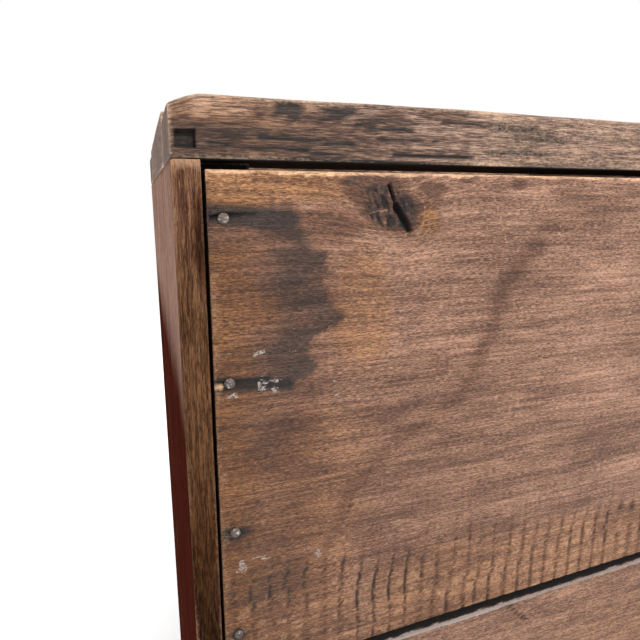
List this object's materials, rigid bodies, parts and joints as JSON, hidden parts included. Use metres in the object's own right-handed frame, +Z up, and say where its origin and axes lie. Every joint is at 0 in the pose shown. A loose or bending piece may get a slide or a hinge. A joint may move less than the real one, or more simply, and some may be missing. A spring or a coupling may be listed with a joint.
{
  "type": "wheelbarrow",
  "caption": "Deep box wheelbarrow of boards on two crooked shafts, with plank-end legs and one iron-tyred spoked wheel.",
  "frame": {"origin": "on the ground, under the middle of the whole object's box", "axes": "+Y forward, the way it is wheeled, towards the wheel; +X to the operator's right; +Z up"},
  "size_m": [0.5404, 1.3568, 0.735],
  "materials": {
    "bare_end_board": "bare weathered softwood, sawn, worn pale along its edges",
    "red_oiled_board": "old red oil paint, chalky and faded towards the top",
    "rim_timber": "bare weathered hardwood, handled smooth and stained dark",
    "inner_board": "bare boards, scuffed by the load",
    "frame_timber": "bare ash, greyed, polished by hands at the grips",
    "wheel_timber": "bare weathered oak and elm",
    "forged_iron": "hand-forged iron with a thin brown rust"
  },
  "bodies": {
    "barrow": {"bearer_front": "frame_timber", "bearer_middle": "frame_timber", "bearer_rear": "frame_timber", "bearing_left": "forged_iron", "bearing_right": "forged_iron", "cleat_nails": "forged_iron", "coach_bolts": "forged_iron", "corner_cleat_left_front": "inner_board", "corner_cleat_left_rear": "inner_board", "corner_cleat_right_front": "inner_board", "corner_cleat_right_rear": "inner_board", "floor_board_1": "inner_board", "floor_board_2": "inner_board", "floor_board_3": "inner_board", "floor_nails": "forged_iron", "front_lower_board": "bare_end_board", "front_panel": "bare_end_board", "front_strap_left": "forged_iron", "front_strap_right": "forged_iron", "front_wall_nails": "forged_iron", "leg_post_left": "frame_timber", "leg_post_right": "frame_timber", "leg_stretcher": "frame_timber", "rear_lower_board": "bare_end_board", "rear_panel": "bare_end_board", "rear_wall_nails": "forged_iron", "rim_front": "rim_timber", "rim_left": "rim_timber", "rim_nails": "forged_iron", "rim_pegs": "rim_timber", "rim_rear": "rim_timber", "rim_right": "rim_timber", "shaft_left": "frame_timber", "shaft_right": "frame_timber", "shaft_rung": "frame_timber", "side_plank_left_front": "red_oiled_board", "side_plank_left_rear": "red_oiled_board", "side_plank_right_front": "red_oiled_board", "side_plank_right_rear": "red_oiled_board", "strap_nails": "forged_iron"},
    "wheel": {"axle": "forged_iron", "axle_washers": "forged_iron", "felloe_1": "wheel_timber", "felloe_2": "wheel_timber", "felloe_3": "wheel_timber", "felloe_4": "wheel_timber", "felloe_dowels": "wheel_timber", "hub": "wheel_timber", "hub_bands": "forged_iron", "linch_pins": "forged_iron", "spoke_1": "wheel_timber", "spoke_2": "wheel_timber", "spoke_3": "wheel_timber", "spoke_4": "wheel_timber", "spoke_5": "wheel_timber", "spoke_6": "wheel_timber", "spoke_7": "wheel_timber", "spoke_8": "wheel_timber", "tyre": "forged_iron", "tyre_nails": "forged_iron"}
  },
  "joints": [
    {"name": "wheel_spin", "type": "hinge", "parent": "barrow", "child": "wheel", "pos_m": [0, 0.45839, 0.22], "axis": [1, 0, 0], "continuous": true}
  ]
}
